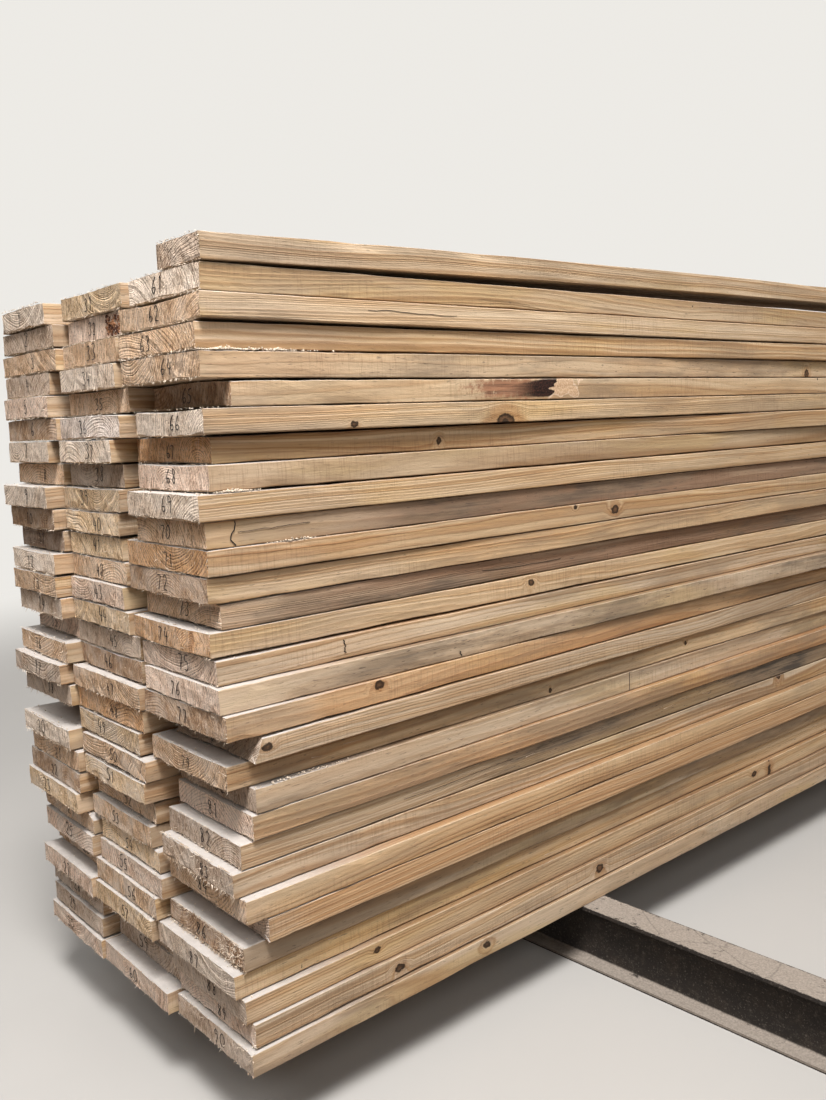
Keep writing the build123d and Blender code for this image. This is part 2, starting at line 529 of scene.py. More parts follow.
mould = maths(tree, "MULTIPLY", stained, remap(tree, maths(
    tree, "MULTIPLY_ADD", streak, 0.6, cloud), 0.72, 0.92))
side = blend(tree, maths(tree, "MULTIPLY", mould, 0.85), side, blend(
    tree, remap(tree, maths(tree, "ADD", fibre, blotch), 0.80, 1.15),
    colour(0.19, 0.155, 0.125), colour(0.50, 0.42, 0.33)))
marks = maths(tree, "MAXIMUM", remap(tree, dashes, 0.64, 0.72), remap(tree, threads, 0.66, 0.74))
side = blend(tree, maths(tree, "MULTIPLY", marks, maths(
    tree, "MULTIPLY_ADD", stained, 0.75, 0.2)), side, colour(0.25, 0.19, 0.15))
side = blend(tree, 0.10, side, colour(0.84, 0.79, 0.74))

# %% [markdown]
# An end is rough-sawn: every fibre is torn off, which leaves pits and pale tufts, and the saw's
# strokes run across as a fine hatching. The shade in the pits is painted, as near-black specks.
# The rings stay plain to see.

# %% The ends
pits = noise(tree, log, 300.0, 3, 0.75)
bruise = noise(tree, log, 20.0, 5, 0.7)
hatch = patches(tree, (160, 240, 75), 3, 0.7)
broken_rings = maths(tree, "MULTIPLY", remap(tree, late, 0.10, 0.60), remap(
    tree, pits, 0.40, 0.56, 0.2, 1.0))
end = end_tone.outputs["Color"]
end = dye(tree, maths(tree, "MULTIPLY", broken_rings, 0.68), end, colour(0.42, 0.33, 0.26))
end = dye(tree, remap(tree, bruise, 0.44, 0.66, 0.0, 0.55), end, colour(0.80, 0.74, 0.68))
end = dye(tree, remap(tree, hatch, 0.50, 0.66, 0.0, 0.65), end, colour(0.60, 0.52, 0.46))
end = blend(tree, remap(tree, hatch, 0.46, 0.30, 0.0, 0.4), end, colour(0.95, 0.88, 0.80))
# painted shade: near-black specks for the shadows of torn fibres in the pits
end = blend(tree, remap(tree, pits, 0.60, 0.68, 0.0, 0.85), end, colour(0.22, 0.16, 0.12))
end_dust = maths(tree, "MULTIPLY", end_tone.outputs["Alpha"], remap(
    tree, bruise, 0.60, 0.36, 0.1, 0.7))
end = blend(tree, end_dust, end, blend(
    tree, fibre, colour(0.70, 0.64, 0.59), colour(0.95, 0.90, 0.86)))

facing = facing_of(tree)
is_end = remap(tree, maths(tree, "ABSOLUTE", facing[0]), 0.55, 0.8)
surface = blend(tree, is_end, side, end)

# %% [markdown]
# A knot is the cut through a branch, dark and ringed, in wood that is darker round it. An end
# cuts a branch lengthwise and shows it only faintly.

# %% Knots and bark
knot = blend(tree, remap(tree, inside, 0.002, 0.007), colour(0.13, 0.09, 0.07), blend(
    tree, fibre, colour(0.17, 0.11, 0.09), colour(0.50, 0.36, 0.25)))
knot = blend(tree, remap(tree, inside, 0.0080, 0.0095), knot, colour(0.10, 0.07, 0.06))
surface = dye(tree, remap(tree, bulge, 0.001, 0.008, 0.0, 0.5), surface, colour(0.82, 0.66, 0.50))
surface = blend(tree, maths(tree, "MULTIPLY", remap(
    tree, inside, -0.001, 0.001, 0.0, 0.93), remap(
        tree, is_end, 0.0, 1.0, 1.0, 0.25)), surface, knot)
surface = blend(tree, maths(tree, "MULTIPLY", reddened, 0.85), surface, blend(
    tree, remap(tree, fibre, 0.35, 0.65), colour(0.40, 0.23, 0.17), colour(0.68, 0.48, 0.37)))
surface = blend(tree, maths(tree, "MULTIPLY", chipped, 0.75), surface, blend(
    tree, remap(tree, pits, 0.35, 0.65), colour(0.76, 0.60, 0.47), colour(0.92, 0.81, 0.69)))
surface = blend(tree, maths(tree, "MULTIPLY", chip_edge, 0.4), surface, colour(0.97, 0.91, 0.84))
surface = blend(tree, barky, surface, blend(
    tree, remap(tree, pits, 0.45, 0.65), colour(0.11, 0.07, 0.06), colour(0.30, 0.17, 0.13)))

# %% [markdown]
# Over everything lies the dust of the yard. What looks up is grimy first, a pale line runs along
# the upper arris all the way, partly dust and partly a painted highlight where the arris catches
# the light, and a thick pale layer of dust lies where a board stands out. The relief is too fine
# to model: torn fibres, and on an end also pits, saw strokes and rings.

# %% Dust and relief
surface = dye(tree, remap(tree, facing[2], 0.5, 0.9, 0.0, 0.75), surface,
              colour(0.66, 0.60, 0.54))
drift = noise(tree, log, 60.0, 4, 0.65)
# painted highlight and dust: a pale line along the upper arris
arris_dust_and_highlight = maths(tree, "MULTIPLY", remap(tree, facing[2], 0.15, 0.45), remap(
    tree, facing[2], 0.97, 0.90))
surface = blend(tree, maths(tree, "MULTIPLY", arris_dust_and_highlight, remap(
    tree, drift, 0.35, 0.60, 0.1, 0.45)), surface, colour(0.80, 0.74, 0.68))
settled = maths(tree, "MULTIPLY", tone.outputs["Alpha"], remap(tree, maths(
    tree, "MULTIPLY_ADD", drift, 0.3, facing[2]), 0.6, 1.0))
surface = blend(tree, settled, surface, blend(
    tree, drift, colour(0.65, 0.63, 0.62), colour(0.79, 0.775, 0.765)))
feed(tree, shader.inputs["Base Color"], surface)

relief = maths(tree, "MULTIPLY", patches(tree, (60, 300, 300), 4, 0.7), remap(
    tree, is_end, 0.0, 1.0, 0.35, 1.0))
relief = maths(tree, "MULTIPLY_ADD", late, maths(tree, "MULTIPLY_ADD", is_end, -1.2, 0.2), relief)
relief = maths(tree, "SUBTRACT", relief, maths(tree, "MULTIPLY", is_end, maths(
    tree, "MULTIPLY_ADD", hatch, 1.8, pits)))
roughen(tree, shader, relief, 0.8, 0.002)
print("the wood is worked out by", len(tree.nodes), "nodes")

# %% [markdown]
# ## One blank for all boards
# The blank is modelled once, as by hand: a cube at the nominal size, cut across its length,
# width and thickness by subdividing its edges, with its arrises bevelled. Every board is a copy
# that is then fitted to its own place in the CAD model.

# %% The blank
blank_length = 3.9
blank_width = 0.225
thickness = 0.038
arris = 0.0014
stations = 53  # cuts across the length
end_ring = 0.0012  # how far the outermost cut is from an end, as a share of the length


def edges_along(mesh, axis):
    """Selects the edges that run along one axis."""
    for edge in mesh.edges:
        first, second = (mesh.vertices[i].co for i in edge.vertices)
        edge.select = abs(abs((second - first)[axis]) - (second - first).length) < 1e-6


def edit(blank, select, operator, **settings):
    """Runs one edit-mode operator on what the selecting function picks."""
    select_only(blank)
    bpy.ops.object.mode_set(mode="EDIT")
    bpy.ops.mesh.select_mode(type="EDGE")
    bpy.ops.mesh.select_all(action="DESELECT")
    bpy.ops.object.mode_set(mode="OBJECT")
    select(blank.data)
    bpy.ops.object.mode_set(mode="EDIT")
    operator(**settings)
    bpy.ops.object.mode_set(mode="OBJECT")


bpy.ops.object.select_all(action="DESELECT")
bpy.ops.mesh.primitive_cube_add(size=1, location=(0.5, 0.5, 0.5))
blank = bpy.context.object
blank.name = "board_blank"
bpy.ops.object.transform_apply(location=True, rotation=True, scale=True)
blank.data.transform(Matrix.Diagonal((blank_length, blank_width, thickness, 1)))
edit(blank, lambda mesh: edges_along(mesh, 0), bpy.ops.mesh.bevel,
     offset=arris, offset_type="OFFSET", segments=2, profile=0.5, affect="EDGES")
edit(blank, lambda mesh: edges_along(mesh, 1), bpy.ops.mesh.subdivide, number_cuts=11)
edit(blank, lambda mesh: edges_along(mesh, 2), bpy.ops.mesh.subdivide, number_cuts=2)
edit(blank, lambda mesh: edges_along(mesh, 0), bpy.ops.mesh.subdivide, number_cuts=stations)
blank_places = coordinates(blank)
print("the blank has", len(blank.data.vertices), "vertices and", len(blank.data.polygons), "faces")

# %% [markdown]
# ## Where each board lies
# A CAD node is a layer of loose triangles. A copy of it is merged, taken apart into its boards,
# and measured: the near right foot of each board, its direction, its length, width and
# thickness, how far its near end is out of square, and how far it is bowed.

# %% Measure the CAD boards
def islands(thing):
    """The vertices of a mesh, as one array of places for each piece that hangs together."""
    select_only(thing)
    bpy.ops.object.mode_set(mode="EDIT")
    bpy.ops.mesh.select_all(action="SELECT")
    bpy.ops.mesh.remove_doubles(threshold=0.00001)
    bpy.ops.object.mode_set(mode="OBJECT")
    places = coordinates(thing)
    group = np.arange(len(places))
    ends = np.empty(len(thing.data.edges) * 2, int)
    thing.data.edges.foreach_get("vertices", ends)
    ends = ends.reshape(-1, 2)
    changed = True
    while changed:
        lowest = np.minimum(group[ends[:, 0]], group[ends[:, 1]])
        before = group.copy()
        np.minimum.at(group, ends[:, 0], lowest)
        np.minimum.at(group, ends[:, 1], lowest)
        changed = (before != group).any()
    return [places[group == number] for number in np.unique(group)]


def measure(places):
    """What is needed to lay a board where these CAD vertices are."""
    foot = places[places[:, 2] < places[:, 2].min() + 0.0001]
    near = foot[foot[:, 0] < foot[:, 0].mean()]
    far = foot[foot[:, 0] > foot[:, 0].mean()]
    run = far[far[:, 1].argmin()] - near[near[:, 1].argmin()]
    run = run / np.linalg.norm(run)
    side = np.array((-run[1], run[0], 0.0))
    out, over = places @ run, places @ side
    low = places[:, 2] < places[:, 2].min() + 0.01
    start = out[low].min()
    near_end = places[out < start + 0.03]
    deep = np.ptp(near_end[:, 2])
    high = near_end[:, 2] > near_end[:, 2].max() - 0.01
    return {
        "foot": run * start + side * over.min() + np.array((0, 0, places[:, 2].min())),
        "run": run,
        "side": side,
        "length": out.max() - start,
        "width": np.ptp(over),
        "thickness": deep,
        "slant": (near_end[high] @ run).min() - start,
        "bow": np.ptp(places[:, 2]) - deep,
    }


layers = {}
for name in sorted(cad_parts):
    if name.startswith("layer_"):
        probe = copy_of(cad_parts[name], "probe")
        measures = [measure(places) for places in islands(probe)]
        layers[int(name[-2:])] = sorted(measures, key=lambda board: board["foot"][1])
        bpy.data.objects.remove(probe)
top_layer = max(layers)
print(len(layers), "layers,", sum(len(row) for row in layers.values()), "boards")
print("widths from", round(min(b["width"] for row in layers.values() for b in row), 3),
      "to", round(max(b["width"] for row in layers.values() for b in row), 3), "m")

# %% [markdown]
# ## What each board is like
# The boards were looked at one by one. The long sides of the right column and the ends of all
# three columns have a tone each, from the top of the stack down. Some boards are stained by
# mould, some have a knot at a known place, and nearly all have dried into a shallow cup.

# %% The boards' characters
side_tones = {
    "pale": colour(0.94, 0.84, 0.71),
    "dusty": colour(0.88, 0.79, 0.68),
    "straw": colour(0.93, 0.82, 0.67),
    "honey": colour(0.90, 0.78, 0.62),
    "orange": colour(0.885, 0.73, 0.555),
    "dull": colour(0.83, 0.72, 0.58),
    "grey": colour(0.68, 0.59, 0.48),
    "brown": colour(0.63, 0.49, 0.38),
    "handled": colour(0.82, 0.73, 0.63),
}
end_tones = {
    "white": colour(1.0, 0.95, 0.92),
    "bright": colour(1.0, 0.93, 0.86),
    "rosy": colour(1.0, 0.89, 0.81),
    "straw": colour(0.98, 0.86, 0.70),
    "tan": colour(0.95, 0.81, 0.67),
    "amber": colour(0.92, 0.73, 0.54),
    "grey": colour(0.82, 0.73, 0.65),
    "umber": colour(0.75, 0.61, 0.48),
    "dark": colour(0.60, 0.49, 0.40),
}
right_sides = """pale dull pale honey pale straw straw honey dull straw brown honey honey brown
    straw dusty dusty orange dusty honey dusty orange grey dusty honey orange dusty honey
    honey dusty dusty""".split()
# painted shade besides the wood's own colour: some ends that lie recessed in shade, as boards 5, 7, 18
# and 20 on the right and others in the columns behind, got a darker tone (umber, amber, grey) partly
# for how dark their shade is
right_ends = """grey bright tan tan tan umber bright amber rosy bright tan amber umber tan
    amber rosy rosy umber grey tan grey rosy grey grey tan rosy umber bright grey
    rosy grey""".split()
middle_ends = """straw rosy tan bright tan white bright grey straw straw straw tan rosy straw
    grey umber tan amber straw tan straw tan tan straw rosy tan straw grey grey rosy""".split()
left_ends = """bright grey tan grey rosy umber bright tan bright umber dark bright tan grey
    rosy tan grey grey grey bright tan umber straw tan rosy tan rosy grey grey rosy""".split()

# how much of the side mould has taken, by the board's number from the top
stains = {0: 0.35, 1: 0.3, 3: 0.3, 4: 0.6, 5: 0.4, 6: 0.4, 7: 0.1, 8: 0.15, 9: 0.15, 10: 0.8, 12: 0.35,
          13: 0.8, 15: 0.4, 16: 0.8, 17: 0.4, 19: 0.5, 20: 0.5, 21: 0.5, 22: 1.2, 23: 0.35,
          24: 0.2, 26: 0.5, 27: 0.4, 28: 0.25, 29: 0.3, 30: 0.45}
# where the mould begins, in metres from the near end, on boards that have none before
mould_starts = {10: 0.30, 22: 0.45, 16: 0.15, 3: 0.08}
# how deep a board is cupped, in millimetres: above 0 its edges turn down, below 0 up
cups = {1: 1.0, 2: -4.0, 3: -1.0, 4: 1.0, 5: 3.0, 6: -3.0, 7: 1.0, 8: -1.5, 14: -2.0, 18: 2.0}
deepest_cups = (0.9, 2, 2)  # of the other boards, by column
# knots on the right side: metres from the near end, share of the height, and size in metres
knots = {
    6: ((0.57, 0.0, 0.016), (0.25, 0.2, 0.005)),
    11: ((0.87, 0.5, 0.008),),
    14: ((0.64, 0.6, 0.006),),
    17: ((0.27, 0.75, 0.007),),
    18: ((0.022, 0.55, 0.006),),
    28: ((0.24, 0.6, 0.005), (1.34, 0.5, 0.007)),
    29: ((0.27, 0.45, 0.007), (0.77, 0.5, 0.008)),
    30: ((0.47, 0.6, 0.006),),
}
# boards that stand out by something: a column, counted from the right one, which is 0, and
# the number from the top
round_edged = (2, 23)  # an upper edge is still round, as it was in the trunk
broken_end = (0, 26)
rotten_end = (1, 1)
torn_rims = {(0, 23): 2.2, (0, 26): 2.0, (2, 19): 2.0}  # how much deeper than others
beards = {(0, 26): 6.0, (0, 23): 4.0, (0, 22): 2.0, (2, 14): 2.0, (2, 15): 1.8, (2, 19): 2.2,
          (0, 4): 1.6, (0, 3): 1.5}
# on the right side: the board with the pocket of bark, and the one that a piece has split off
scarred_board, scar_at, scar_height = 5, 0.628, 0.55
split_board, split_at = 10, 0.05
print(len(right_sides), "sides,", len(right_ends) + len(middle_ends) + len(left_ends), "ends")

# %% [markdown]
# ## One board
# A copy of the blank is stretched to its board's length and width, cupped, thinned a little,
# and worn: the saw wandered, the arrises are nicked, and the ends are rough. All of it goes
# inwards, so no board grows past its CAD solid. At last the copy is laid where the CAD board
# lies, and takes along what its material wants to know.

# %% What shapes a board
crowding = 0.13  # how much closer together the stations stand at the ends
cup_reach = 0.45
saw_wander = 0.001  # how far the saw strays on either side
arris_wear = 0.0014
end_roughness = 0.0014
torn_least, torn_more = 0.0012, 0.0028  # how deep the lower rim of an end is torn
round_depth, round_reach = 0.012, 0.025  # how far the rounded edge goes down and in


def wander(places, step, rng):
    """A smooth random line: one value between 0 and 1 for every place."""
    count = int(np.ptp(places) / step) + 4
    stops = places.min() + step * (np.arange(count) - rng.random())
    values = rng.random(count)
    at = np.clip(np.searchsorted(stops, places) - 1, 0, count - 2)
    share = (places - stops[at]) / step
    share = share * share * (3 - 2 * share)
    return values[at] * (1 - share) + values[at + 1] * share


def along_board(length):
    """How far each point of the blank is along a board. The stations stand closer at the ends,
    where the roughness shows, and the outermost are a few millimetres from the end."""
    share = blank_places[:, 0] / blank_length
    first = np.isclose(share, 1 / (stations + 1))
    last = np.isclose(share, stations / (stations + 1))
    share = share - crowding * np.sin(2 * math.pi * share)
    share = np.where(first, end_ring, np.where(last, 1 - end_ring, share))
    return share * length


def cupped(s, a, h, board, cup):
    """The heights of a board that has dried into a shallow cup, deepest at its ends."""
    length, lift = board["length"], h / thickness
    cup = cup * (0.3 + 0.7 * np.exp(-s / cup_reach) + 0.7 * np.exp((s - length) / cup_reach))
    edge = (2 * a / board["width"] - 1) ** 2
    crown = np.where(cup > 0, edge, 1 - edge)
    return h - np.abs(cup) * crown * lift + np.abs(cup) * (1 - crown) * (1 - lift)


def worn_arrises(s, a, h, rng):
    """The same points with each of the four arrises nicked and rubbed down."""
    for far_side in (0, 1):
        for upper in (0, 1):
            near_side = np.abs(blank_places[:, 1] - far_side * blank_width) < arris * 1.05
            near_top = np.abs(blank_places[:, 2] - upper * thickness) < arris * 1.05
            worn = (near_side & near_top) * (arris_wear * wander(
                s, 0.012 + 0.03 * rng.random(), rng) ** 3)
            a = a + worn * (1 - 2 * far_side)
            h = h + worn * (1 - 2 * upper)
    return a, h


# %% [markdown]
# Every board goes through the same steps in the same order, and only the numbers differ. The
# points stay in the board's own measures, along it, across it and up, until it is laid.

# %% Shape a board
def shape(board, column, number, rng):
    """Where the blank's points go on one board: along it, across it and above its underside."""
    length, width = board["length"], board["width"]
    s = along_board(length)
    a = blank_places[:, 1] * width / blank_width
    h = blank_places[:, 2]
    lift = h / thickness
    share = s / length
    cup = cups.get(number) if column == 0 else None
    cup = 0.001 * (rng.uniform(-1, 1) * deepest_cups[column] if cup is None else cup)
    h = cupped(s, a, h, board, cup)
    h = h - lift * rng.uniform(0.0004, 0.0016)
    if (column, number) == round_edged:
        h = h - round_depth * lift * np.clip(1 - a / round_reach, 0, 1) ** 1.5
    # the saw's wandering, along either side
    a = a + saw_wander * wander(s, 0.6, rng) * (1 - a / width)
    a = a - saw_wander * wander(s, 0.6, rng) * (a / width)
    a, h = worn_arrises(s, a, h, rng)
    # rough ends, whose lower rim is torn deeper than the upper one
    rough = end_roughness * rng.random(len(s))
    near, far = share < 0.0001, share > 0.9999
    s = s + rough * near - rough * far
    torn = (near | far) * torn_rims.get((column, number), 1.0) * (
        torn_least + torn_more * rng.random(len(s)) ** 2)
    h = h + np.where(lift < 0.01, torn, 0) - np.where(lift > 0.99, 0.3 * torn, 0)
    s = s + board["slant"] * lift * np.clip(1 - s / 0.06, 0, 1)
    if board["bow"] > 0.001:
        h = h + board["bow"] * 4 * share * (1 - share)
    return s, a, h


def on_board(board, s, a, h):
    """The points of the stack that are s along a board, a across it and h above its underside."""
    return (board["foot"] + np.multiply.outer(s, board["run"])
            + np.multiply.outer(a, board["side"]) + np.multiply.outer(h, (0, 0, 1)))


# %% [markdown]
# Now the board gets its character. Its log lies anyhow, with the pith beside or below it. Its
# tone is one of those above, a little lighter or darker, and dull over the last hand's breadth
# or more before the near end, where it was handled and dust has settled.

# %% A board's looks
def give(piece, name, kind, values):
    """An attribute of the piece's points: a row each, or one row for them all."""
    layer = piece.data.attributes.new(name, kind, "POINT")
    field = "color" if kind == "FLOAT_COLOR" else "vector"
    count = len(piece.data.vertices)
    rows = np.broadcast_to(np.asarray(values, float), (count, 4 if field == "color" else 3))
    layer.data.foreach_set(field, np.ascontiguousarray(rows, np.float32).ravel())


def mixed(tone, share, other):
    """Rows of tones, mixed with another one by a share for each row."""
    share = share[:, None]
    return tone * (1 - share) + share * np.array(other[:3])


def dress(piece, board, column, number, points, rng):
    """Gives a board's points what its material wants to know."""
    s, a, h = points
    on_right = column == 0
    pith_across = rng.uniform(-0.2, 1.2) * board["width"]
    pith_above = thickness / 2 + rng.choice((-1, 1)) * rng.uniform(0.02, 0.14)
    start = rng.uniform(0, 40)
    give(piece, "log", "FLOAT_VECTOR", np.column_stack((s + start, a - pith_across, h - pith_above)))

    side = right_sides[number] if on_right else rng.choice(
        ("pale", "straw", "honey", "honey", "dull", "dull"))
    tone = np.tile(side_tones[side], (len(s), 1))
    tone[:, :3] *= rng.uniform(0.82, 0.92) * (0.96 if number < 13 else 1.0)
    reach = rng.choice((0.05, 0.10, 0.16, 0.28)) * rng.uniform(0.8, 1.2)
    handled = (0.55 if on_right else 0.8) / (1 + np.exp((s - reach) / 0.008))
    tone[:, :3] = mixed(tone[:, :3], handled, side_tones["handled"])
    # the piece before the crack has kept its colour
    if on_right and number == split_board:
        tone[s < split_at, :3] = side_tones["orange"][:3]
    # dust has settled on what stands out, and thinly on the open top
    tone[:, 3] = 0.4 if board["top"] else 0.95 * np.exp(-(s / 0.17) ** 2)

    end = (right_ends, middle_ends, left_ends)[column][number]
    ends_tone = np.array(end_tones[end])
    ends_tone[3] = rng.uniform(0.2, 0.5) + 0.5 * min(1, number / 20)
    # amber ends are fresh, with little dust
    if end == "amber":
        ends_tone[3] *= 0.6

    stain = stains.get(number, 0.05) if on_right else rng.uniform(0, 0.5)
    traits = np.tile((rng.uniform(0.0030, 0.0056), stain, rng.uniform(0.5, 1.0)), (len(s), 1))
    if on_right and number in mould_starts:
        taken = np.clip((s - mould_starts[number]) / 0.2 + 0.5, 0.15, 1)
        traits[:, 1] *= taken
        tone[:, :3] = mixed(tone[:, :3], 0.6 * (1 - taken), side_tones["dusty"])
    give(piece, "tone", "FLOAT_COLOR", tone)
    give(piece, "end_tone", "FLOAT_COLOR", ends_tone)
    give(piece, "traits", "FLOAT_VECTOR", traits)

    own = [(-9.0, -9.0, 0.0)] * 2  # far away, so that it doesn't show
    for place, (knot_s, knot_h, size) in enumerate(knots.get(number, ()) if on_right else ()):
        own[place] = (knot_s + start, knot_h * thickness - pith_above, size)
    give(piece, "knot_a", "FLOAT_VECTOR", own[0])
    give(piece, "knot_b", "FLOAT_VECTOR", own[1])
    give(piece, "scar", "FLOAT_VECTOR", (
        scar_at + start, scar_height * thickness - pith_above, 1.0)
         if on_right and number == scarred_board else (0, 0, 0))


# %% [markdown]
# Each layer is one piece, as in the CAD model, and takes that layer's place. Every layer has
# random numbers of its own, so a change to one leaves the others as they are.

# %% Lay the stack
blank.data.materials.append(wood)
stack = {}
for layer in sorted(layers):
    rng = np.random.default_rng(700 + layer)
    boards = []
    for column, board in enumerate(layers[layer]):
        number = top_layer - layer - (1 if column else 0)
        board["top"] = layer >= top_layer - 1
        stack[column, number] = board
        points = shape(board, column, number, rng)
        piece = copy_of(blank, "board")
        put_coordinates(piece, on_board(board, *points))
        dress(piece, board, column, number, points, rng)
        boards.append(piece)
    piece = join(boards, f"boards_{layer:02d}")
    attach(piece, "root")
    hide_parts(f"layer_{layer:02d}")
bpy.data.objects.remove(blank)

# %% [markdown]
# ## Torn fibres
# A saw leaves a beard of torn fibres round every end. One sliver is modelled, a thin cone with
# three sides, and then set in thousands round the ends, each with a length and a lean of its
# own. So many copies are quickest as one array of places, which becomes one mesh.

# %% A mesh of many copies
def new_piece(name, vertices, faces, material):
    """A piece made straight from lists of vertices and faces."""
    mesh = bpy.data.meshes.new(name)
    mesh.from_pydata(vertices, [], faces)
    mesh.materials.append(material)
    piece = bpy.data.objects.new(name, mesh)
    bpy.context.collection.objects.link(piece)
    return piece


def scatter(name, original, places, material):
    """One piece made of copies of a small mesh, each at four rows: three axes and a place."""
    points = coordinates(original)
    places = np.asarray(places)
    spread = np.einsum("vi,nij->nvj", points, places[:, :3]) + places[:, 3][:, None, :]
    spread = np.clip(spread.reshape(-1, 3), cad_box[0], cad_box[1])
    faces = np.array([tuple(face.vertices) for face in original.data.polygons])
    steps = np.arange(len(places)) * len(points)
    faces = (faces + steps[:, None, None]).reshape(-1, faces.shape[1])
    piece = new_piece(name, spread.tolist(), faces.tolist(), material)
    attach(piece, "root")
    print(name, "has", len(places), "copies,", len(faces), "faces")


def sliver_at(point, aim, length, breadth, rng):
    """The four rows for a sliver that starts at a point and runs along aim."""
    aim = aim / np.linalg.norm(aim)
    flat = np.cross(aim, rng.normal(size=3))
    flat = flat / np.linalg.norm(flat)
    return (flat * breadth, np.cross(aim, flat) * breadth, aim * length, point)


fibres = two_tone("torn_fibres", 0.9, (35.0, 3), (0.35, 0.65),
                  colour(0.72, 0.63, 0.54), colour(0.92, 0.87, 0.81))

bpy.ops.object.select_all(action="DESELECT")
bpy.ops.mesh.primitive_cone_add(vertices=3, radius1=1, radius2=0, depth=1, location=(0, 0, 0.5))
sliver = bpy.context.object
bpy.ops.object.transform_apply(location=True, rotation=True, scale=True)

# %% [markdown]
# Most fibres hang from the lower rim of an end, where the saw left the wood, many stand on the
# upper rim, and the rest are strewn over the face. A beard is denser and longer on some boards.
# One end was broken rather than sawn, and three sides have long splinters that hang loose.

# %% The beards of the ends
slivers_per_end = 110
broken_splinters = 90
longest_sliver = 0.011
rng = np.random.default_rng(31)
beard = []
for (column, number), board in stack.items():
    width, length = board["width"], board["length"]
    shaggy = beards.get((column, number), rng.uniform(0.6, 1.5))
    for end_at, out, share in ((0.0, -1, 1.0), (length, 1, 0.5)):
        for _ in range(int(slivers_per_end * shaggy * share)):
            rim = rng.random()
            a, h = rng.uniform(0, width), rng.uniform(0.002, thickness - 0.002)
            lift, long = rng.normal(0, 0.5), rng.exponential(0.002)
            if rim < 0.30:  # on the upper rim
                h, lift = thickness - 0.0004, rng.normal(0.2, 0.3)
            elif rim < 0.78:  # on the lower one
                h, lift = rng.uniform(0.0008, 0.003), rng.normal(-0.6, 0.4)
                long = rng.exponential(0.0017)
            elif rim < 0.86:  # on the right one
                a = 0.0008
            s = end_at + board["slant"] * h / thickness * (end_at == 0.0) - out * 0.0012
            lean = np.array((out * rng.uniform(0.2, 0.8), rng.normal(0, 0.6), lift))
            long = min(longest_sliver, 0.0008 + long * shaggy ** 0.5)
            beard.append(sliver_at(
                on_board(board, s, a, h), lean, long, rng.uniform(0.0003, 0.0008), rng))
board = stack[broken_end]
for _ in range(broken_splinters):
    point = on_board(board, 0.0, rng.uniform(0, 0.07), rng.uniform(0.004, 0.036))
    beard.append(sliver_at(point, np.array((-0.4, rng.normal(0, 0.8), rng.normal(0.1, 0.5))),
                           rng.uniform(0.005, 0.014), rng.uniform(0.0004, 0.0009), rng))
for number in (19, 22, 27):
    board = stack[0, number]
    for _ in range(4):
        point = on_board(board, rng.uniform(0.1, 1.3), 0.0005, rng.uniform(0.006, 0.036))
        beard.append(sliver_at(point, np.array((1, -0.04, rng.normal(0, 0.08))),
                               rng.uniform(0.015, 0.04), 0.0005, rng))
scatter("torn_fibres", sliver, beard, fibres)
bpy.data.objects.remove(sliver)

# %% [markdown]
# ## Sawdust and rot
# Crumbs of sawdust lie in small drifts on some ledges, and a rotten pocket in one of the ends
# has crumbled to dark lumps. Both are one small pebble, scattered.

# %% Sawdust and rot
bpy.ops.object.select_all(action="DESELECT")
bpy.ops.mesh.primitive_ico_sphere_add(subdivisions=1, radius=1)
pebble = bpy.context.object
for vertex in pebble.data.vertices:
    vertex.co *= 1 + 0.35 * math.sin(vertex.index * 12.9)


def crumb_at(point, size, rng):
    """The four rows for a crumb of about this size, turned anyhow but never mirrored."""
    turned = np.linalg.qr(rng.normal(size=(3, 3)))[0]
    turned[:, 0] *= np.sign(np.linalg.det(turned))
    return (*(turned * size * rng.uniform(0.5, 1.3, (3, 1))), point)


sawdust = two_tone("sawdust", 0.95, (300.0, 2), None,
                   colour(0.80, 0.73, 0.64), colour(0.93, 0.89, 0.84))
crumbs = []
# the board, how far along the drift is, how long it is, and how many crumbs it has
for number, at, spread, count in ((4, 0.045, 0.022, 240), (4, 0.125, 0.010, 70),
                                  (4, 0.09, 0.06, 90), (9, 0.055, 0.018, 170),
                                  (11, 0.145, 0.020, 150), (20, 0.07, 0.05, 70)):
    board = stack[0, number]
    for _ in range(count):
        s = at + rng.normal(0, spread)
        a = abs(rng.normal(0.0025, 0.003)) + 0.0005
        h = thickness + abs(rng.normal(0, 0.0016)) * math.exp(-((s - at) / spread) ** 2)
        crumbs.append(crumb_at(on_board(board, max(s, 0.002), a, h),
                               rng.uniform(0.0005, 0.0014), rng))
crumbs_per_board = 14  # lie about besides
for board in stack.values():
    for _ in range(crumbs_per_board):
        point = on_board(board, rng.uniform(0.002, 0.03), rng.uniform(0, board["width"]),
                         thickness)
        crumbs.append(crumb_at(point, rng.uniform(0.0004, 0.0011), rng))
scatter("sawdust", pebble, crumbs, sawdust)

rot = two_tone("rot", 0.95, (120.0, 3), (0.4, 0.62),
               colour(0.24, 0.12, 0.08), colour(0.62, 0.44, 0.31))
lumps = []
lump_count = 150
for _ in range(lump_count):
    a, h = rng.uniform(0.004, 0.055), rng.uniform(0.004, 0.034)
    lumps.append(crumb_at(on_board(stack[rotten_end], 0.0008, a, h),
                          rng.uniform(0.0008, 0.0030), rng))
scatter("rotten_pocket", pebble, lumps, rot)
bpy.data.objects.remove(pebble)

# %% [markdown]
# ## Tally numbers
# Whoever counted the boards wrote a number on each near end with a thin pen. A numeral is a few
# strokes, given below as points in a box one high. Each stroke becomes a ribbon on the wood,
# and Solidify gives it a little thickness, so that no face has a bare back. The hand is never
# quite steady, so every numeral is a little off in size and slant.

